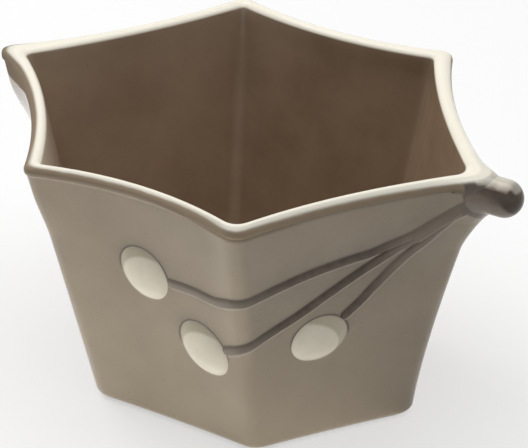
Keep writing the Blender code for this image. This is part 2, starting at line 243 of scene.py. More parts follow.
# Cream with a painted highlight on the stub: how straight up it faces where the cream starts, how much that
# covers, and where it ends
STUB_CREAM_WAVES = ((0.018, 900.0, 0.0), (0.010, 2100.0, 1.0))
STUB_CREAM_EDGE = (0.75, 0.84)
STUB_CREAM_TOP = (0.84, 0.98)
STUB_CREAM_COVER = (0.34, 0.62)
STUB_CREAM_RIM = (-0.0060, 0.0)
STUB_CREAM_LOWER = 0.22
STUB_CREAM_END = (0.0027, 0.0049)
BESIDE_STUB = (0.0030, 0.0010)
BESIDE_REACH = (0.070, 0.076)

# Thinner glaze at the stub's root, and a painted reflection under it, from the rim's corner and from the
# stub's middle line
ROOT_REACH = (0.0045, -0.0040)
ROOT_RISE = (0.0045, 0.0015)
UNDER_REACH = (0.0072, 0.0050)
UNDER_RISE = (0.0032, -0.0018)
UNDER_SLANT = 0.75

# Where stems grow pale and where they are branch, along the wall, and how narrow their edges of painted shade
# and painted highlight are
PALE_ALONG = (0.25, -0.20)
PALE_EDGE = 0.6
TRUNK_ALONG = (0.58, 0.74)
EDGE_NARROWNESS = 10


# Helpers
def blend(low, high, share):
    """Straight blend between two values."""
    return low + (high - low) * share


def ease(share):
    """A share, or an array of them, held to 0 and 1 and eased at both ends."""
    share = np.clip(share, 0.0, 1.0)
    return share * share * (3.0 - 2.0 * share)


def fade(value, start, end):
    """An eased change from 0 at one value to 1 at another."""
    return ease((value - start) / (end - start))


def bell(value, width):
    """1 where a value is zero, falling smoothly to both sides."""
    return np.exp(-(value / width) ** 2)


def waves(places, parts):
    """A sum of sine waves, each with its size, rate and start."""
    return sum(size * np.sin(rate * places + start) for size, rate, start in parts)


def crossing(first, first_way, second, second_way):
    """Where two straight lines in the plan cross."""
    cross = first_way.x * second_way.y - first_way.y * second_way.x
    reach = (second - first).x * second_way.y - (second - first).y * second_way.x
    return first + first_way * (reach / cross)


# Outline of the cup at any level
def corners_at(height, outward):
    """The six sharp corners at a height, with every side moved out by the same distance."""
    shares = [height / BOWL_HEIGHT] * CORNERS
    shares[STUB_CORNER] = max(height / BOWL_HEIGHT, 0.0) ** STUB_CORNER_LEAN
    corners = [
        Vector(low).lerp(Vector(high), share) for low, high, share in zip(FOOT_CORNERS, RIM_CORNERS, shares)
    ]
    sides = [(corners[(k + 1) % CORNERS] - corners[k]).normalized() for k in range(CORNERS)]
    moved = []
    for k in range(CORNERS):
        before, after = sides[k - 1], sides[k]
        on_before = corners[k] + Vector((before.y, -before.x)) * outward
        on_after = corners[k] + Vector((after.y, -after.x)) * outward
        moved.append(crossing(on_before, before, on_after, after))
    return moved


def inner_share(outward):
    """How far a ring lies from the outer face towards the inner face, from 0 to 1."""
    return min(max(-outward / WALL, 0.0), 1.0)


def pulls_at(height, outward):
    """How far the flare and the lift move each corner at a height."""
    reaches = [reach * (1.0 - inner_share(outward)) for reach in CORNER_FLARES]
    full = BOWL_HEIGHT - FLARE_FULL_DEPTH
    lip_start = BOWL_HEIGHT - LIP_HEIGHT
    retreat = STUB_LIP_RETREAT * fade(height, full, lip_start)
    reaches[STUB_CORNER] -= blend(retreat, STUB_CORNER_FILL, inner_share(outward))
    drawn = fade(height, BOWL_HEIGHT - FLARE_START_DEPTH, full)
    flares = [Vector(spot).normalized() * reach * drawn for spot, reach in zip(RIM_CORNERS, reaches)]
    return flares, [lift * drawn for lift in CORNER_LIFTS]


def radii_at(height, outward):
    """Rounding of the six corners at a height."""
    radii = []
    for foot, rim, inner in zip(FOOT_CORNER_RADII, RIM_CORNER_RADII, INNER_CORNER_RADII):
        outer = blend(foot, rim, height / BOWL_HEIGHT) + max(outward, 0.0)
        radii.append(blend(outer, inner, inner_share(outward)))
    return radii


def side_point(start, end, bow, share):
    """A point on a side that bows inwards, and the direction of travel there."""
    along = end - start
    inward = Vector((-along.y, along.x)).normalized()
    point = start + along * share + inward * (4.0 * bow * share * (1.0 - share))
    direction = along + inward * (4.0 * bow * (1.0 - 2.0 * share))
    return point, direction.normalized()


def ring(height, outward=0.0, steps=VISIBLE):
    """One level outline: six bowed sides with rounded corners, as a closed loop of points."""
    side_steps, corner_steps = steps
    corners = corners_at(height, outward)
    bows = [blend(FOOT_BOW, bow, height / BOWL_HEIGHT) for bow in RIM_BOWS]
    radii = radii_at(height, outward)
    ends = []
    for k in range(CORNERS):
        following = (k + 1) % CORNERS
        start, end = corners[k], corners[following]
        length = (end - start).length
        before, after = corners[k - 1], corners[(k + 2) % CORNERS]
        trims = []
        ways = ((radii[k], start - before, end - start), (radii[following], end - start, after - end))
        for radius, way_in, way_out in ways:
            turn = way_in.angle(way_out)
            trims.append(radius * math.tan(turn / 2.0) / length)
        ends.append((trims[0], 1.0 - trims[1]))
    flares, lifts = pulls_at(height, outward)
    points = []
    for k in range(CORNERS):
        last, after = (k - 1) % CORNERS, (k + 1) % CORNERS
        p_in, way_in = side_point(corners[last], corners[k], bows[last], ends[last][1])
        p_out, way_out = side_point(corners[k], corners[after], bows[k], ends[k][0])
        apex = crossing(p_in, way_in, p_out, way_out)
        for step in range(corner_steps):
            share = step / corner_steps
            spot = p_in.lerp(apex, share).lerp(apex.lerp(p_out, share), share) + flares[k]
            points.append((spot.x, spot.y, height + lifts[k]))
        for step in range(side_steps[k]):
            share = step / side_steps[k]
            spot = side_point(corners[k], corners[after], bows[k], blend(*ends[k], share))[0]
            spot += flares[k] * (1.0 - share) ** FLARE_FADE + flares[after] * share ** FLARE_FADE
            rise = lifts[k] * (1.0 - share) ** LIFT_FADE + lifts[after] * share ** LIFT_FADE
            points.append((spot.x, spot.y, height + rise))
    return [Vector(point) + SHIFT for point in points]


# The object's axes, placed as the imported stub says
stub_low, stub_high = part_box("branch_stub")
SHIFT = Vector((stub_high.x - STUB_TIP - STUB_REACH, (stub_low.y + stub_high.y) / 2.0, 0.0))


def arc(centre_out, centre_height, radius, start, end):
    """Points of a rounding in the wall's section, as outward distance and height."""
    points = []
    for step in range(ARC_STEPS + 1):
        angle = math.radians(blend(start, end, step / ARC_STEPS))
        points.append((centre_out + radius * math.cos(angle), centre_height + radius * math.sin(angle)))
    return points


# Places on the wall
def wall_point(along, down):
    """A point on the decorated walls, with the direction that faces out of the wall there."""

    def on_ring(height):
        loop = ring(height, 0.0, PLACING)
        per_corner = PLACING[1] + PLACING[0][0]
        front = FRONT_CORNER * per_corner + PLACING[1] // 2
        stretch = [loop[(front + k) % len(loop)] for k in range(per_corner + 1)]
        if along < 0.0:
            stretch = [loop[front - k] for k in range(per_corner + 1)]
        lengths = [(b - a).length for a, b in zip(stretch, stretch[1:])]
        left = abs(along) * sum(lengths)
        for k, length in enumerate(lengths):
            if left <= length or k == len(lengths) - 1:
                way = (stretch[k + 1] - stretch[k]).normalized()
                return stretch[k] + way * left, way if along >= 0.0 else -way
            left -= length

    height = BOWL_HEIGHT * (1.0 - down)
    point, way = on_ring(height)
    rise = on_ring(height + PROBE)[0] - on_ring(height - PROBE)[0]
    return point, way.cross(rise).normalized()


def smooth_route(route):
    """Places along a smooth curve through a route's own points."""
    places = [Vector(place) for place in route]
    padded = [places[0] * 2.0 - places[1], *places, places[-1] * 2.0 - places[-2]]
    curve = []
    for k in range(1, len(padded) - 2):
        a, b, c, d = padded[k - 1:k + 3]
        for step in range(ROUTE_STEPS):
            t = step / ROUTE_STEPS
            curve.append(
                0.5 * (2.0 * b + (c - a) * t + (2.0 * a - 5.0 * b + 4.0 * c - d) * t * t
                       + (3.0 * b - a - 3.0 * c + d) * t ** 3)
            )
    curve.append(places[-1])
    return curve


class Ridge:
    """A branch or stem on the wall: its seats on the wall and its half widths."""

    def __init__(self, route, start_width, end_width, rise):
        curve = smooth_route(route)
        seats = [wall_point(place.x, place.y) for place in curve]
        last = len(seats) - 1
        self.points = [seat[0] for seat in seats]
        self.facings = [seat[1] for seat in seats]
        self.halves = [blend(start_width, end_width, k / last) / 2.0 for k in range(last + 1)]
        self.rise = rise
        self.alongs = [place.x for place in curve]

    def distance(self, places):
        """Distance of each place from the ridge's edge, below zero inside it."""
        nearest = np.full(len(places), np.inf)
        for k in range(len(self.points) - 1):
            a = np.array(self.points[k])
            b = np.array(self.points[k + 1])
            way = b - a
            share = np.clip((places - a) @ way / (way @ way), 0.0, 1.0)
            gap = np.linalg.norm(places - a - share[:, None] * way, axis=1)
            nearest = np.minimum(nearest, gap - blend(self.halves[k], self.halves[k + 1], share))
        return nearest


class Berry:
    """An egg-shaped dome on the wall."""

    def __init__(self, along, down, half_length, half_width, turn):
        self.centre, self.facing = wall_point(along, down)
        self.points = [self.centre]
        self.level = Vector((0.0, 0.0, 1.0)).cross(self.facing).normalized()
        self.upward = self.facing.cross(self.level)
        angle = math.radians(turn)
        self.length_way = self.level * math.cos(angle) + self.upward * math.sin(angle)
        self.width_way = self.facing.cross(self.length_way)
        self.half_length = half_length
        self.half_width = half_width

    def flat(self, places):
        """Each place's position over the berry's outline, as a share of its half sizes."""
        offset = places - np.array(self.centre)
        lengthwise = offset @ np.array(self.length_way) / self.half_length
        return lengthwise, offset @ np.array(self.width_way) / self.half_width

    def distance(self, places):
        """Distance of each place from the berry's edge, below zero inside it."""
        x, y = self.flat(places)
        share = np.maximum(np.hypot(x, y), TINY)
        reach = np.hypot(x * self.half_length, y * self.half_width) / share
        behind = np.abs((places - np.array(self.centre)) @ np.array(self.facing)) > self.half_length
        return np.where(behind, FAR, (share - 1.0) * reach)


def rise_from(points, places):
    """The upward share of the way to each place from the nearest of a form's middle points."""
    best = np.full(len(places), np.inf)
    rise = np.zeros(len(places))
    for point in points:
        offset = places - np.array(point)
        gap = np.linalg.norm(offset, axis=1)
        nearer = gap < best
        rise[nearer] = offset[nearer, 2] / np.maximum(gap[nearer], TINY)
        best[nearer] = gap[nearer]
    return rise


def side_above(forms, places):
    """How far each place lies above the nearest form, from -1 below it to 1 above it."""
    gaps = np.array([form.distance(places) for form in forms])
    rises = np.array([rise_from(form.points, places) for form in forms])
    return rises[np.argmin(gaps, axis=0), np.arange(len(places))]


# The stub's form
def stub_spine():
    """Stations of the stub from inside the wall to its end: reach, height and radius."""
    spine = []
    for step in range(STUB_STEPS):
        reach = blend(STUB_TIP - STUB_ROOT_START, STUB_DOME, step / STUB_STEPS)
        share = ease((reach - STUB_TIP + STUB_NECK_START) / STUB_NECK_LENGTH)
        drop = blend(STUB_ROOT_DROP, STUB_DROP, share)
        spine.append((reach, BOWL_HEIGHT - drop, blend(STUB_ROOT_RADIUS, STUB_RADIUS, share)))
    for step in range(STUB_STEPS // 2):
        angle = math.radians(blend(0.0, 90.0, step / (STUB_STEPS // 2)))
        radius = STUB_RADIUS * math.cos(angle)
        spine.append((STUB_DOME + STUB_RADIUS * math.sin(angle), BOWL_HEIGHT - STUB_DROP, radius))
    return spine


def stub_distance(places):
    """Distance of each place from the stub's side, below zero inside it."""
    reach, height, radius = np.array(stub_spine()).T
    x = places[:, 0] - SHIFT.x
    axis = np.interp(x, reach, height)
    gap = np.hypot(places[:, 1] - SHIFT.y, places[:, 2] - axis) - np.interp(x, reach, radius)
    return np.where(x < reach[0], np.maximum(gap, reach[0] - x), gap)


def stub_cream_and_highlight(places):
    """How much of the rim's cream, with a painted highlight over it, lies on each place on the stub or beside
    it.
    """
    reach, height, _ = np.array(stub_spine()).T
    x = places[:, 0] - SHIFT.x
    middle = np.minimum(x, STUB_DOME)
    axis = np.stack((middle, np.zeros(len(x)), np.interp(middle, reach, height)), axis=1)
    offset = places - np.array(SHIFT) - axis
    up = offset[:, 2] / np.maximum(np.linalg.norm(offset, axis=1), TINY) - waves(x, STUB_CREAM_WAVES)
    cover = blend(*STUB_CREAM_COVER, fade(up, *STUB_CREAM_TOP))
    full = blend(1.0, cover, fade(x - STUB_TIP, *STUB_CREAM_RIM))
    lower = STUB_CREAM_LOWER * fade(x - STUB_DOME, *STUB_CREAM_END)
    return full * fade(up + lower, *STUB_CREAM_EDGE)


def stub_fillet(places, facing):
    """How far the glaze stands off the wall where it flows from the wall onto the stub."""
    stand = np.zeros(len(places))
    near = np.flatnonzero(stub_distance(places) < STUB_FILLET)
    open_yet = np.ones(len(near), bool)
    for reach in np.linspace(0.0, STUB_FILLET_REACH, STUB_FILLET_STEPS):
        gap = stub_distance(places[near] + facing[near] * reach)
        gap += STUB_FILLET_INSET + reach * STUB_FILLET_DIVE
        overlap = np.maximum(STUB_FILLET - np.abs(gap - reach), 0.0) / STUB_FILLET
        joint = np.minimum(gap, reach) - overlap ** 2 * STUB_FILLET / 4.0
        stand[near[open_yet]] = reach
        open_yet &= joint < 0.0
    return stand


# Meshes
def loft(loops, first_point=None, last_point=None):
    """Vertices and faces through loops of points, each end closed to a point or by one face."""
    count = len(loops[0])
    vertices = [point for loop in loops for point in loop]
    faces = []
    for low in range(len(loops) - 1):
        for k in range(count):
            after = (k + 1) % count
            start, end = low * count, (low + 1) * count
            faces.append((start + k, start + after, end + after, end + k))
    for start, point, flip in ((0, first_point, True), ((len(loops) - 1) * count, last_point, False)):
        row = list(range(start, start + count))
        if point is None:
            faces.append(tuple(row[::-1] if flip else row))
            continue
        vertices.append(point)
        tip = len(vertices) - 1
        for k in range(count):
            pair = (row[k], row[(k + 1) % count])
            faces.append((tip, pair[1], pair[0]) if flip else (tip, pair[0], pair[1]))
    return vertices, faces


def add_piece(name, vertices, faces, material, slot, nodes, **masks):
    """A piece of the visible model, which stands for its solid and rides on the one body."""
    mesh = bpy.data.meshes.new(name)
    mesh.from_pydata([tuple(vertex) for vertex in vertices], [], faces)
    for mask, values in masks.items():
        layer = mesh.attributes.new(mask, "FLOAT", "POINT")
        layer.data.foreach_set("value", np.asarray(values, dtype=np.float32))
    mesh.shade_smooth()
    mesh.materials.append(material)
    thing = bpy.data.objects.new(name, mesh)
    bpy.context.scene.collection.objects.link(thing)
    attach(thing, "root")
    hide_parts(*nodes)


# Relief laid out on the wall
fork = Ridge(BRANCH_ROUTE, BRANCH_START_WIDTH, BRANCH_END_WIDTH, BRANCH_RISE)
stems = {
    name: Ridge((*STEM_LEADS[name], *route), STEM_WIDTH, STEM_WIDTH, STEM_RISE)
    for name, route in STEM_ROUTES.items()
}
lines = {"branch_fork": fork, **stems}
berries = {name: Berry(*place) for name, place in BERRIES.items()}


# Cup
def cup_section():
    """The cup's section from the recess under it, round the lip, to the inside floor.

    Each entry holds the outward distance, the height, how far up the lip it lies, and the share of bare foot.
    """
    ring_inner = -FOOT_EDGE_RADIUS - FOOT_RING_WIDTH
    section = [(ring_inner - FOOT_RECESS, FOOT_RECESS, 0.0, 0.0), (ring_inner, 0.0, 0.0, 1.0)]
    foot = arc(-FOOT_EDGE_RADIUS, FOOT_EDGE_RADIUS, FOOT_EDGE_RADIUS, -90.0, 0.0)
    section += [(out, height, 0.0, 1.0 if height < BARE_FOOT_HEIGHT else 0.0) for out, height in foot]
    lip_start = BOWL_HEIGHT - LIP_HEIGHT
    parts = ((FOOT_EDGE_RADIUS, RELIEF_LOWEST, LOWER_STEPS), (RELIEF_LOWEST, lip_start, UPPER_STEPS))
    for low, high, steps in parts:
        section += [(0.0, blend(low, high, (step + 1) / steps), 0.0, 0.0) for step in range(steps)]
    bead_top = BOWL_HEIGHT - LIP_OUTER_RADIUS
    for step in range(1, BEAD_STEPS):
        share = step / BEAD_STEPS
        section.append((LIP_BEAD * ease(share), blend(lip_start, bead_top, share), 0.0, 0.0))
    lip = arc(LIP_BEAD - LIP_OUTER_RADIUS, bead_top, LIP_OUTER_RADIUS, 0.0, 90.0)
    for k, (out, height) in enumerate(lip):
        section.append((out, height, k / ARC_STEPS, 0.0))
    inner_top = BOWL_HEIGHT - LIP_INNER_RADIUS
    lip = arc(-WALL + LIP_INNER_RADIUS, inner_top, LIP_INNER_RADIUS, 90.0, 180.0)
    for k, (out, height) in enumerate(lip):
        section.append((out, height, ease((1.0 - k / ARC_STEPS) / CREAM_INSIDE), 0.0))
    fillet_top = FLOOR + FLOOR_FILLET
    for step in range(1, INNER_STEPS):
        section.append((-WALL, blend(inner_top, fillet_top, step / INNER_STEPS), 0.0, 0.0))
    fillet = arc(-WALL - FLOOR_FILLET, fillet_top, FLOOR_FILLET, 0.0, -90.0)
    section += [(out, height, 0.0, 0.0) for out, height in fillet]
    return section


def shares_to_stub(grid):
    """How far each point of each ring lies from a neighbouring corner to the stub corner, by length."""
    side_steps, corner_steps = VISIBLE
    count = grid.shape[1]
    middle = corner_steps // 2
    front = sum(side_steps[:FRONT_CORNER]) + FRONT_CORNER * corner_steps + middle
    behind = corner_steps + side_steps[STUB_CORNER] + middle
    shares = np.zeros(grid.shape[:2])
    towards = np.arange(front, count + middle + 1) % count
    away = np.arange(behind, middle - 1, -1)
    for order in (towards, away):
        steps = np.linalg.norm(np.diff(grid[:, order], axis=1), axis=2)
        run = np.concatenate((np.zeros((len(grid), 1)), np.cumsum(steps, axis=1)), axis=1)
        shares[:, order] = run / run[:, -1:]
    return shares


class Cup:
    """The cup's points, from the recess under it to the inside floor, and where they lie."""

    def __init__(self):
        section = cup_section()
        loops = [ring(height, out) for out, height, _, _ in section]
        self.grid = np.array([[tuple(point) for point in loop] for loop in loops])
        self.levels, self.count = self.grid.shape[:2]
        around = np.roll(self.grid, -1, axis=1) - np.roll(self.grid, 1, axis=1)
        facing = np.cross(around, np.gradient(self.grid, axis=0))
        facing /= np.linalg.norm(facing, axis=2, keepdims=True)
        self.facing = facing.reshape(-1, 3)
        self.places = self.grid.reshape(-1, 3)
        _, self.heights, self.lip, self.bare = (np.repeat(column, self.count) for column in zip(*section))
        row = np.repeat(np.arange(self.levels), self.count)
        self.inside = row > CREST_ROW
        self.outer = (row >= FOOT_ROWS) & ~self.inside
        self.along = shares_to_stub(self.grid).reshape(-1)
        self.gaps = {name: self.on_outer(form.distance, FAR) for name, form in (lines | berries).items()}
        self.gaps["stub"] = self.on_outer(stub_distance, FAR)
        self.stem_gap = np.minimum.reduce([self.gaps[name] for name in lines])
        self.berry_gap = np.minimum.reduce([self.gaps[name] for name in berries])
        self.above_stems = self.on_outer(lambda places: side_above(lines.values(), places), 0.0)
        self.above_berries = self.on_outer(lambda places: side_above(berries.values(), places), 0.0)

    def on_outer(self, values_at, elsewhere):
        """Values worked out for the points of the outer face, with a plain value elsewhere."""
        values = np.full(len(self.places), elsewhere)
        values[self.outer] = values_at(self.places[self.outer])
        return values

    def glazed(self):
        """The points with glaze run into the corners between the wall and the relief."""
        relief_gap = np.minimum(self.stem_gap, self.berry_gap)
        skirt = SKIRT_RISE * np.exp(-np.maximum(relief_gap, 0.0) / SKIRT_REACH)
        fillet = np.zeros(len(self.places))
        fillet[self.outer] = stub_fillet(self.places[self.outer], self.facing[self.outer])
        fillet *= fade(self.lip, 1.0, STUB_FILLET_LIP)
        rise = np.where(self.outer, np.maximum(skirt, fillet), 0.0)
        return self.places + self.facing * rise[:, None]

    def round_rim(self, name):
        """A value that holds along the sides and passes smoothly to others at the corners."""
        sides, corners, reach = ROUND_RIM[name]
        side_steps, corner_steps = VISIBLE
        values = []
        for k, steps in enumerate(side_steps):
            values += [corners[k]] * corner_steps
            for step in range(steps):
                share = step / steps
                corner = corners[k] if share < 0.5 else corners[(k + 1) % CORNERS]
                values.append(blend(corner, sides[k], ease(min(share, 1.0 - share) / reach)))
        return np.tile(values, self.levels)


def rim_masks(cup):
    """Cream on the lip with painted shade outside its crest, a band of painted shade under it and darker
    painted shade in the fold below.
    """
    turn = np.arange(cup.count) / cup.count * math.tau
    start = cup.round_rim("cream") + np.tile(waves(turn, CREAM_WAVES), cup.levels)
    rim = np.where(cup.inside, cup.lip, np.clip((cup.lip - start) / CREAM_SOFT + 0.5, 0.0, 1.0))
    # Painted shade: the cream is darker on the lip's outer rounding, below its crest
    lip_shade = np.where(cup.inside, 0.0, fade(cup.lip, *LIP_SHADE_SPAN)) * cup.round_rim("lip_shade")
    # Painted shade: a darker band under the cream, darkest in the fold at its lower edge
    over = cup.heights - BOWL_HEIGHT + cup.round_rim("under_lip_shade")
    under_lip_shade = np.where(cup.inside, 0.0, np.clip(over / UNDER_LIP_SHADE_SOFT, 0.0, 1.0))
    fold = bell(over - FOLD_ABOVE, FOLD_REACH) * ~cup.inside * cup.round_rim("fold")
    return {"rim": rim, "lip_shade": lip_shade, "under_lip_shade": under_lip_shade, "fold": np.maximum(fold, under_lip_shade * cup.round_rim("deep"))}


def wall_masks(cup):
    """Dark wash with painted shadow above the berries, painted shade in the creases, a painted highlight line
    under the stems, and a painted highlight over a corner.
    """
    stem_edge = np.maximum(cup.stem_gap, 0.0)
    berry_edge = np.maximum(cup.berry_gap, 0.0)
    upper, middle, lower = (np.maximum(cup.gaps[name], 0.0) for name in stems)
    below_upper = np.minimum(np.exp(-(upper + middle) / UPPER_WASH_REACH), UPPER_WASH_MOST)
    between = np.maximum(
        below_upper * ease(cup.along / UPPER_WASH_START), np.exp(-(middle + lower) / LOWER_WASH_REACH)
    )
    # Painted shadow above the berries, laid in with the dark wash
    halo = np.exp(-berry_edge / HALO_REACH) * np.clip(cup.above_berries * HALO_CHANGE, 0.0, 1.0)
    beside = np.exp(-stem_edge / STEM_WASH_REACH)
    # Painted shade in the creases on the upper sides of the stems and berries
    above = np.clip(cup.above_stems * CREASE_CHANGE, 0.0, 1.0)
    below = np.clip(-cup.above_stems * CREASE_CHANGE, 0.0, 1.0)
    round_berry = np.clip(cup.above_berries * CREASE_CHANGE + CREASE_ROUND, 0.0, 1.0)
    stem_crease = STEM_CREASE * bell(stem_edge, CREASE_REACH) * above
    # Painted highlight over the front corner
    corner_highlight = cup.round_rim("corner_highlight") * ~cup.inside
    return {
        "wash_and_shadow": np.maximum.reduce([STEM_WASH * beside, FORK_WASH * between, HALO * halo]),
        "crease_shade": np.maximum(stem_crease, bell(berry_edge, CREASE_REACH) * round_berry),
        # Painted highlight line just under the stems
        "light": bell(cup.stem_gap - LINE_OFF, LINE_REACH) * below,
        "corner_highlight": corner_highlight * fade(cup.along, *HIGHLIGHT_ALONG) * fade(cup.heights, *HIGHLIGHT_HEIGHTS),
    }


def bark_masks(cup):
    """Bark glaze that runs from the stub onto the wall, and its darker upper part."""
    down = 1.0 - cup.heights / BOWL_HEIGHT
    past_start = cup.along - np.interp(down, *zip(*BARK_START))
    over_end = np.interp(cup.along, *zip(*BARK_DOWN)) - down
    root = np.clip(past_start / BARK_SOFT + 0.5, 0.0, 1.0) * np.clip(over_end / BARK_SOFT + 0.5, 0.0, 1.0)
    seam = np.clip(0.5 - cup.gaps["branch_fork"] / SEAM_SOFT, 0.0, 1.0)
    seam *= np.interp(cup.along, SEAM_ALONG, (0.0, 1.0))
    bark = np.where(cup.inside, 0.0, np.maximum(root, seam))
    above_axis = cup.heights - BOWL_HEIGHT + STUB_DROP
    return {"bark": bark, "bark_top": bark * fade(above_axis, *BARK_TOP)}


def inside_masks(cup):
    """The inside, with painted light down from the rim, painted highlight streaks in its corners and painted
    shade just under the rim.
    """
    depth = np.maximum(BOWL_HEIGHT - cup.heights, 0.0)
    # Painted light down from the rim, and painted highlight streaks in the corners
    run = np.maximum(cup.round_rim("run") * np.exp(-depth / PAINTED_LIGHT_DEPTH), cup.round_rim("streak"))
    # Painted shade just under the rim
    shade = cup.round_rim("shade") * bell(depth - SHADE_DEPTH, SHADE_REACH)
    return {"inside": 1.0 * cup.inside, "run": run * cup.inside, "shade": shade * cup.inside}


def cup_piece(material):
    """The cup, with the masks that its colours need."""
    cup = Cup()
    places = cup.glazed()
    masks = {"bare": cup.bare, **rim_masks(cup), **wall_masks(cup), **bark_masks(cup), **inside_masks(cup)}
    # Painted shade in the creases and in the fold under the lip
    masks["crease_shade"] = np.maximum(masks["crease_shade"], masks.pop("fold"))
    masks["matt"] = masks["under_lip_shade"] * (1.0 - masks["rim"]) * (1.0 - masks["bark"])
    # The rim's cream with a painted highlight, run over the wall beside the stub
    beside = fade(cup.gaps["stub"], *BESIDE_STUB) * fade(places[:, 0] - SHIFT.x, *BESIDE_REACH)
    masks["rim"] = np.maximum(masks["rim"], np.where(cup.outer, stub_cream_and_highlight(places) * beside, 0.0))
    loops = [[Vector(point) for point in row] for row in places.reshape(cup.grid.shape)]
    under = SHIFT + Vector((0.0, 0.0, FOOT_RECESS))
    inside = SHIFT + Vector((0.0, 0.0, FLOOR))
    vertices, faces = loft(loops, under, inside)
    masks = {name: np.append(values, (0.0, 0.0)) for name, values in masks.items()}
    add_piece("bowl_shell", vertices, faces, material, "taupe_glaze", ["bowl_body"], **masks)


# Relief pieces
def ridge_piece(name, ridge, material):
    """A low flat ridge that follows the wall, with a rounded far end."""
    stations = []
    last = len(ridge.points) - 1
    for k, point in enumerate(ridge.points):
        ahead = (ridge.points[min(k + 1, last)] - ridge.points[max(k - 1, 0)]).normalized()
        stations.append((point, ahead, ridge.facings[k], ridge.halves[k], 1.0))
    point, ahead, facing, half, _ = stations[-1]
    for step in range(1, ARC_STEPS):
        angle = math.radians(blend(0.0, 90.0, step / ARC_STEPS))
        stations.append((point + ahead * half * math.sin(angle), ahead, facing, half, math.cos(angle)))
    lit_low_edge = []
    shaded_top_edge = []
    loops = []
    for spot, way, out, width, size in stations:
        across = way.cross(out).normalized()
        if across.z > 0.0:
            across = -across
        loop = []
        for step in range(SWEEP_SIDES):
            side = math.cos(math.tau * step / SWEEP_SIDES)
            lift = ridge.rise * (1.0 - side ** RIDGE_FLATNESS) if step <= SWEEP_SIDES // 2 else -RELIEF_SINK
            loop.append(spot + across * width * size * side + out * lift * size)
            # Lower edges get a painted highlight and upper edges painted shade
            lit_low_edge.append(max(0.0, side) ** EDGE_NARROWNESS)
            shaded_top_edge.append(max(0.0, -side) ** EDGE_NARROWNESS)
        loops.append(loop)
    vertices, faces = loft(loops, None, point + ahead * half)
    alongs = np.array(ridge.alongs + ridge.alongs[-1:] * (len(stations) - len(ridge.alongs)))
    pale = np.repeat(fade(alongs, *PALE_ALONG), SWEEP_SIDES)
    trunk = np.repeat(fade(alongs, *TRUNK_ALONG), SWEEP_SIDES)
    shaded_top_edge = np.array(shaded_top_edge) * (1.0 - trunk) * (1.0 - PALE_EDGE * pale)
    masks = {
        "pale": np.append(pale, pale[-1]), "trunk": np.append(trunk, trunk[-1]),
        "lit_low_edge": [*lit_low_edge, 0.0], "shaded_top_edge": np.append(shaded_top_edge, 0.0),
    }
    add_piece(name + "_relief", vertices, faces, material, "bark_glaze", [name], **masks)


def berry_piece(name, form, material):
    """An egg-shaped dome with its rounded back sunk behind the wall."""
    depth = BERRY_RISE + BERRY_SINK
    spread = depth / math.sqrt(depth ** 2 - BERRY_SINK ** 2)
    middle = form.centre - form.facing * BERRY_SINK
    loops = []
    edge = []
    lowest = math.asin((BERRY_SINK - RELIEF_SINK) / depth)
    for ring_step in range(BERRY_RINGS):
        tilt = blend(lowest, math.pi / 2.0, ring_step / BERRY_RINGS)
        side = math.cos(tilt) * spread
        loop = []
        for step in range(BERRY_SIDES):
            angle = math.tau * step / BERRY_SIDES
            loop.append(
                middle + form.length_way * form.half_length * side * math.cos(angle)
                + form.width_way * form.half_width * side * math.sin(angle)
                + form.facing * depth * math.sin(tilt)
            )
        edge += [side] * BERRY_SIDES
        loops.append(loop)
    vertices, faces = loft(loops, None, middle + form.facing * depth)
    # Painted shade over the berry's upper end, outside its outline moved down and along
    level, upward = BERRY_SHADE_SHIFT[name]
    moved = np.array(vertices) + np.array(form.level * level + form.upward * upward)
    shaded_end = np.interp(np.hypot(*form.flat(moved)), BERRY_SHADE_EDGE, (0.0, 1.0))
    masks = {"edge": [*edge, 0.0], "shaded_end": shaded_end}
    add_piece(name + "_relief", vertices, faces, material, "cream_glaze", [name], **masks)


@functools.cache
def buried_outline(level):
    """The outline just under the cup's outer face, at a level counted in steps."""
    loop = ring(level * BURIED_STEP, -STUB_BURIED, PLACING)
    return np.array([tuple(spot)[:2] for spot in loop])


def buried(point):
    """Whether a point lies under the cup's outer face, or over the mouth."""
    height = min(point.z, BOWL_HEIGHT - LIP_OUTER_RADIUS)
    outline = buried_outline(round(height / BURIED_STEP))
    after = np.roll(outline, -1, axis=0)
    crosses = (outline[:, 1] > point.y) != (after[:, 1] > point.y)
    run = np.where(crosses, after[:, 1] - outline[:, 1], 1.0)
    reach = outline[:, 0] + (point.y - outline[:, 1]) * (after[:, 0] - outline[:, 0]) / run
    return bool(np.count_nonzero(crosses & (point.x < reach)) % 2)


def stub_point(spine, angle, place, size=1.0):
    """A point on the stub at an angle round it and a place along it, held under the lip beside the rim."""
    reach, height, radius = (np.interp(place, range(len(spine)), column) for column in zip(*spine))
    round_axis = Vector((0.0, math.cos(angle), math.sin(angle)))
    spot = SHIFT + Vector((reach, 0.0, height)) + round_axis * radius * size
    share = fade(reach - STUB_TIP, *STUB_TOP_REACH)
    spot.z = min(spot.z, BOWL_HEIGHT + blend(-STUB_TOP_SPARE, STUB_TOP_SPARE, share))
    return spot


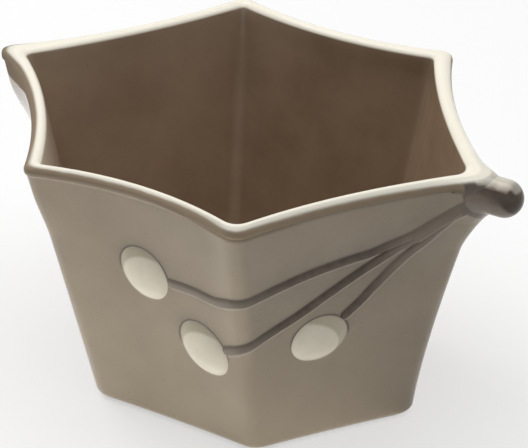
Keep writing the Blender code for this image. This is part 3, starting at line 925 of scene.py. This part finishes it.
def stub_piece(material):
    """The round branch end, each line of which starts under the cup's face and rises out of it."""
    spine = stub_spine()
    sunk = [k / STUB_SUNK_STEPS for k in range(STUB_SUNK_STEPS, 0, -1)]
    stub_lines = []
    for step in range(STUB_SIDES):
        angle = math.tau * step / STUB_SIDES
        start = STUB_STEPS
        while start > 0 and not buried(stub_point(spine, angle, start)):
            start -= STUB_SEARCH
        line = [
            stub_point(spine, angle, start - STUB_SUNK_STEPS * t, 1.0 - STUB_SUNK_SHARE * t * t) for t in sunk
        ]
        stops = [blend(start, STUB_STEPS, k / STUB_STEPS) for k in range(STUB_STEPS)]
        stops += range(STUB_STEPS, len(spine))
        line += [stub_point(spine, angle, stop) for stop in stops]
        stub_lines.append(line)
    end = Vector((STUB_TIP + STUB_REACH, 0.0, BOWL_HEIGHT - STUB_DROP))
    vertices, faces = loft([list(loop) for loop in zip(*stub_lines)], None, SHIFT + end)
    places = np.array([tuple(spot) for spot in vertices])
    past_rim = places[:, 0] - SHIFT.x - STUB_TIP
    above_axis = places[:, 2] - BOWL_HEIGHT + STUB_DROP
    root = fade(past_rim, *ROOT_REACH) * fade(above_axis, *ROOT_RISE)
    # Painted reflection on the stub's underside
    under = fade(past_rim + UNDER_SLANT * above_axis, *UNDER_REACH) * fade(above_axis, *UNDER_RISE)
    # Cream with a painted highlight over the stub's top
    masks = {"rim": stub_cream_and_highlight(places), "root": root, "under": under}
    add_piece("branch_stub_relief", vertices, faces, material, "bark_glaze", ["branch_stub"], **masks)


# Materials
def add_node(tree, kind, output, inputs, **settings):
    """Adds a node, whose inputs are links or constants, and gives one of its outputs."""
    node = tree.nodes.new("ShaderNode" + kind)
    for name, value in settings.items():
        setattr(node, name, value)
    for key, value in inputs.items():
        if isinstance(value, bpy.types.NodeSocket):
            tree.links.new(value, node.inputs[key])
        else:
            node.inputs[key].default_value = (*value, 1.0) if isinstance(value, tuple) else value
    return node.outputs[output]


class Glaze:
    """A node material with helpers for the few nodes that the glazes use."""

    def __init__(self, name):
        self.material = bpy.data.materials.new(name)
        self.material.use_nodes = True
        self.tree = self.material.node_tree
        self.shader = self.tree.nodes["Principled BSDF"]
        self.place = add_node(self.tree, "TexCoord", "Object", {})

    def noise(self, scale, detail=2.0, roughness=0.5):
        """Soft noise at a scale in features per metre."""
        inputs = {"Vector": self.place, "Scale": scale, "Detail": detail, "Roughness": roughness}
        return add_node(self.tree, "TexNoise", "Fac", inputs)

    def mask(self, name):
        """A mask stored on the mesh."""
        return add_node(self.tree, "Attribute", "Fac", {}, attribute_name=name)

    def spread(self, value, low, high, to_low=0.0, to_high=1.0):
        """A value stretched from one range to another and held there."""
        inputs = {"Value": value, "From Min": low, "From Max": high, "To Min": to_low, "To Max": to_high}
        return add_node(self.tree, "MapRange", "Result", inputs)

    def mix(self, share, first, second):
        """A blend of two colours."""
        inputs = {"Factor": share, MIX_FIRST: first, MIX_SECOND: second}
        return add_node(self.tree, "Mix", MIX_RESULT, inputs, data_type="RGBA")

    def coats(self, colour, *layers):
        """A colour with others laid over it, each where a mask says and at a strength."""
        for mask, paint, strength in layers:
            shares = {0: self.mask(mask), 1: strength}
            share = add_node(self.tree, "Math", "Value", shares, operation="MULTIPLY")
            colour = self.mix(share, colour, paint)
        return colour

    def set(self, name, value):
        """Connects a value to the shader."""
        self.tree.links.new(value, self.shader.inputs[name])

    def finish(self, colour, roughness, rough_scale=120.0, bump_scale=500.0, bump_depth=0.00005):
        """Connects the colour, the uneven roughness and the small bumps of the glaze."""
        self.set("Base Color", colour)
        self.set("Roughness", self.spread(self.noise(rough_scale), 0.3, 0.7, *roughness))
        bumps = {"Strength": BUMPS, "Distance": bump_depth, "Height": self.noise(bump_scale, 3.0)}
        self.set("Normal", add_node(self.tree, "Bump", "Normal", bumps))
        return self.material


# Sockets of a mix node for colours, and how strong the small bumps are
MIX_FIRST = 6
MIX_SECOND = 7
MIX_RESULT = 2
BUMPS = 0.35

# Colours of the glazes
TAUPE_LIGHT = (0.350, 0.284, 0.199)
TAUPE_DARK = (0.303, 0.243, 0.167)
# Painted highlight over the front corner
TAUPE_HIGHLIGHT = (0.470, 0.390, 0.280)
# Painted shade: darker, browner copies of the glaze for the inside
SHADED_INSIDE_LIGHT = (0.285, 0.188, 0.120)
SHADED_INSIDE_DARK = (0.212, 0.130, 0.078)
# Painted shade under the rim inside
INSIDE_SHADE = (0.130, 0.096, 0.058)
SPECK = (0.120, 0.082, 0.050)
# Painted shade under the lip
UNDER_LIP_SHADE = (0.302, 0.236, 0.168)
CREAM_RIM = (0.840, 0.796, 0.674)
# Painted shade on the lip's outer rounding
CREAM_SHADED = (0.555, 0.525, 0.440)
# Painted light inside
PAINTED_LIGHT_INSIDE = (0.840, 0.730, 0.590)
# Cream tone, also used for the painted highlight line under the stems
CREAM_LIGHT = (0.790, 0.728, 0.588)
# Cream tone, also used for the painted highlight on the stems' lower edges
CREAM_DARK = (0.735, 0.672, 0.532)
# Thin glaze at the berries' edges, and painted shade at their upper ends
CREAM_EDGE_AND_SHADE = (0.500, 0.440, 0.315)
BARK_DARK = (0.026, 0.016, 0.011)
BARK_LIGHT = (0.046, 0.031, 0.022)
BARK_GLEAM = (0.920, 0.790, 0.690)
BARK_IOR = 1.56
STEM_DARK = (0.084, 0.060, 0.041)
STEM_LIGHT = (0.120, 0.089, 0.062)
STEM_PALE = (0.255, 0.216, 0.165)
STEM_GLOSS = 0.3
TRUNK = (0.212, 0.166, 0.126)
ROOT = (0.150, 0.115, 0.086)
# Painted reflection under the stub
UNDERSIDE_REFLECTION = (0.232, 0.200, 0.164)
# Dark wash, also painted shadow above the berries
WASH_AND_SHADOW = (0.120, 0.104, 0.098)
# Painted shade in creases and on the stems' upper edges
CREASE_SHADE = (0.060, 0.046, 0.035)
BISQUE = (0.560, 0.480, 0.380)


def taupe_glaze():
    """Taupe glaze with cloudy patches and a cream break on the rim, a darker copy inside as painted shade,
    dark wash round the relief, and painted shade, light and highlights.
    """
    glaze = Glaze("taupe_glaze_finish")
    cloud = glaze.spread(glaze.noise(38.0, 4.0), 0.32, 0.68)
    patch = glaze.spread(glaze.noise(55.0, 3.0, 0.6), 0.34, 0.66)
    speck = glaze.spread(glaze.noise(1300.0, 1.0), 0.70, 0.80, 0.0, 0.35)
    streak = glaze.spread(glaze.noise(260.0, 3.0), 0.25, 0.75, 0.55, 1.0)
    # Painted shade: a darker, browner copy of the glaze inside
    inside = glaze.mix(patch, SHADED_INSIDE_DARK, SHADED_INSIDE_LIGHT)
    # Cream, with painted shade on the lip's outer rounding
    cream = glaze.mix(glaze.mask("lip_shade"), CREAM_RIM, CREAM_SHADED)
    colour = glaze.coats(
        glaze.mix(cloud, TAUPE_DARK, TAUPE_LIGHT),
        # Painted highlight over the front corner
        ("corner_highlight", TAUPE_HIGHLIGHT, 0.30),
        # Painted shade: the darker inside
        ("inside", inside, 0.7),
        # Painted shade under the rim inside
        ("shade", INSIDE_SHADE, 0.6),
        # Painted light inside
        ("run", PAINTED_LIGHT_INSIDE, 1.0),
    )
    colour = glaze.coats(
        glaze.mix(speck, colour, SPECK),
        # Dark wash, with painted shadow above the berries
        ("wash_and_shadow", WASH_AND_SHADOW, streak),
        # Painted shade under the lip
        ("under_lip_shade", UNDER_LIP_SHADE, 0.85),
        # Painted shade in creases
        ("crease_shade", CREASE_SHADE, 0.75),
        # Painted highlight line under the stems
        ("light", CREAM_LIGHT, 0.20),
        ("bark", ROOT, 1.0),
        ("bark_top", BARK_LIGHT, 0.7),
        ("rim", cream, 1.0),
        ("bare", BISQUE, 1.0),
    )
    glaze.set("Specular IOR Level", glaze.spread(glaze.mask("matt"), 0.0, 1.0, 0.5, 0.0))
    return glaze.finish(colour, (0.10, 0.16), rough_scale=90.0, bump_scale=420.0, bump_depth=0.00006)


def bark_glaze():
    """Dark glossy glaze of the branch end, thinner in streaks, with a painted reflection underneath and the
    rim's cream, with a painted highlight, over its top.
    """
    glaze = Glaze("bark_glaze_finish")
    streak = glaze.spread(glaze.noise(300.0, 4.0), 0.35, 0.70)
    colour = glaze.mix(streak, BARK_DARK, BARK_LIGHT)
    # Painted reflection underneath, and cream with a painted highlight over the top
    colour = glaze.coats(colour, ("root", ROOT, 1.0), ("under", UNDERSIDE_REFLECTION, 1.0), ("rim", CREAM_RIM, 1.0))
    glaze.shader.inputs["IOR"].default_value = BARK_IOR
    glaze.shader.inputs["Specular Tint"].default_value = (*BARK_GLEAM, 1.0)
    return glaze.finish(colour, (0.05, 0.10))


def stem_glaze():
    """Brushed glaze of the branch and stems, greyer on the branch and paler towards the far ends, with
    painted shade along their upper edges and a painted highlight along their lower edges.
    """
    glaze = Glaze("stem_glaze_finish")
    streak = glaze.spread(glaze.noise(300.0, 4.0), 0.35, 0.70)
    colour = glaze.coats(
        glaze.mix(streak, STEM_DARK, STEM_LIGHT),
        ("trunk", TRUNK, 0.9),
        ("pale", STEM_PALE, 0.9),
        # Painted shade on the upper edge
        ("shaded_top_edge", CREASE_SHADE, 0.55),
        # Painted highlight on the lower edge
        ("lit_low_edge", CREAM_DARK, 0.12),
    )
    glaze.shader.inputs["Specular IOR Level"].default_value = STEM_GLOSS
    return glaze.finish(colour, (0.12, 0.20))


def cream_glaze():
    """Cream glaze, darker towards the edge, with painted shade at the upper end."""
    glaze = Glaze("cream_glaze_finish")
    cloud = glaze.spread(glaze.noise(160.0, 3.0), 0.3, 0.7)
    # Painted shade at the upper end
    colour = glaze.coats(glaze.mix(cloud, CREAM_DARK, CREAM_LIGHT), ("shaded_end", CREAM_EDGE_AND_SHADE, 0.9))
    colour = glaze.mix(glaze.spread(glaze.mask("edge"), 0.90, 1.05, 0.0, 0.3), colour, CREAM_EDGE_AND_SHADE)
    return glaze.finish(colour, (0.08, 0.13), bump_scale=420.0)


stem = stem_glaze()
cream = cream_glaze()
cup_piece(taupe_glaze())
stub_piece(bark_glaze())
for name, ridge in lines.items():
    ridge_piece(name, ridge, stem)
for name, form in berries.items():
    berry_piece(name, form, cream)

# The photograph's view
VIEW_AIM = SHIFT + Vector((0.0062, 0.0036, 0.05325))
VIEW_DISTANCE = 1.040
VIEW_AZIMUTH = math.radians(30.41)
VIEW_ELEVATION = math.radians(30.69)
VIEW_LENS = 214.04
SENSOR_WIDTH = 36.0

# Floor, lights and surroundings
FLOOR_SIZE = 2.0
FLOOR_DROP = 0.0002
FLOOR_WHITE = 0.55
FLOOR_ROUGHNESS = 0.9
PAPER = (0.90, 0.90, 0.90)
WHITE = (1.0, 1.0, 1.0)
WORLD_LIGHT = 0.03
MIDDLE = Vector((0.0, 0.0, 0.05))
UPWARD = Vector((0.0, 0.0001, 1.0))


def show_white(tree, plain, white, share, output):
    """Shows white, by a share, to the camera and in reflections, and the plain shader to other rays."""
    path = tree.nodes.new("ShaderNodeLightPath")
    seen = path.outputs["Is Camera Ray"]
    for ray in ("Is Glossy Ray", "Is Transmission Ray"):
        seen = add_node(tree, "Math", "Value", {0: seen, 1: path.outputs[ray]}, operation="MAXIMUM")
    seen = add_node(tree, "Math", "Value", {0: seen, 1: share}, operation="MULTIPLY")
    both = add_node(tree, "MixShader", "Shader", {"Fac": seen, 1: plain, 2: white})
    tree.links.new(both, tree.nodes[output].inputs["Surface"])


# Floor, partly white to the camera and in reflections, with the shadow kept
bpy.ops.mesh.primitive_plane_add(size=FLOOR_SIZE, location=(0.0, 0.0, -FLOOR_DROP))
ground = bpy.context.object
ground.name = "studio_floor"
paper = bpy.data.materials.new("studio_paper")
paper.use_nodes = True
matt = paper.node_tree.nodes["Principled BSDF"]
matt.inputs["Base Color"].default_value = (*PAPER, 1.0)
matt.inputs["Roughness"].default_value = FLOOR_ROUGHNESS
matt.inputs["Specular IOR Level"].default_value = 0.0
glow = add_node(paper.node_tree, "Emission", "Emission", {"Color": WHITE, "Strength": 1.0})
show_white(paper.node_tree, matt.outputs["BSDF"], glow, FLOOR_WHITE, "Material Output")
ground.data.materials.append(paper)


# Soft lights: right, near and up as the camera sees the bowl, the way they face, width, height and watts
LIGHTS = {
    "top_light": ((0.0, -0.05, 1.1), -UPWARD, 1.3, 1.3, 11.8),
    "back_light": ((-0.85, -0.65, 0.80), None, 1.0, 0.8, 8.5),
    "right_light": ((0.95, 0.10, 0.80), None, 0.7, 0.7, 1.9),
    "table_light": ((-0.115, 0.06, 0.0005), UPWARD, 0.26, 0.36, 0.22),
}
across = Vector((math.cos(VIEW_AZIMUTH), math.sin(VIEW_AZIMUTH), 0.0))
towards = Vector((math.sin(VIEW_AZIMUTH), -math.cos(VIEW_AZIMUTH), 0.0))
for name, ((right, near, up), way, width, height, power) in LIGHTS.items():
    lamp = bpy.data.lights.new(name, "AREA")
    lamp.shape = "RECTANGLE"
    lamp.size = width
    lamp.size_y = height
    lamp.energy = power
    light = bpy.data.objects.new(name, lamp)
    light.location = across * right + towards * near + Vector((0.0, 0.0, up))
    way = MIDDLE - light.location if way is None else way
    light.rotation_euler = way.to_track_quat("-Z", "Y").to_euler()
    light.visible_camera = name != "table_light"
    light.visible_glossy = name == "top_light"
    bpy.context.scene.collection.objects.link(light)

# White surroundings for the camera and for reflections, which hardly light the bowl
world = bpy.data.worlds.new("studio_world")
world.use_nodes = True
bpy.context.scene.world = world
faint = world.node_tree.nodes["Background"]
faint.inputs["Color"].default_value = (*WHITE, 1.0)
faint.inputs["Strength"].default_value = WORLD_LIGHT
backdrop = add_node(world.node_tree, "Background", "Background", {"Color": WHITE, "Strength": 1.0})
show_white(world.node_tree, faint.outputs["Background"], backdrop, 1.0, "World Output")

# Camera at the photograph's angle
back = Vector((
    math.sin(VIEW_AZIMUTH) * math.cos(VIEW_ELEVATION),
    -math.cos(VIEW_AZIMUTH) * math.cos(VIEW_ELEVATION),
    math.sin(VIEW_ELEVATION),
))
camera = bpy.data.objects.new("camera", bpy.data.cameras.new("camera"))
camera.data.lens = VIEW_LENS
camera.data.sensor_width = SENSOR_WIDTH
camera.location = VIEW_AIM + back * VIEW_DISTANCE
camera.rotation_euler = (-back).to_track_quat("-Z", "Y").to_euler()
bpy.context.scene.collection.objects.link(camera)
bpy.context.scene.camera = camera
bpy.context.scene.view_settings.view_transform = "Standard"
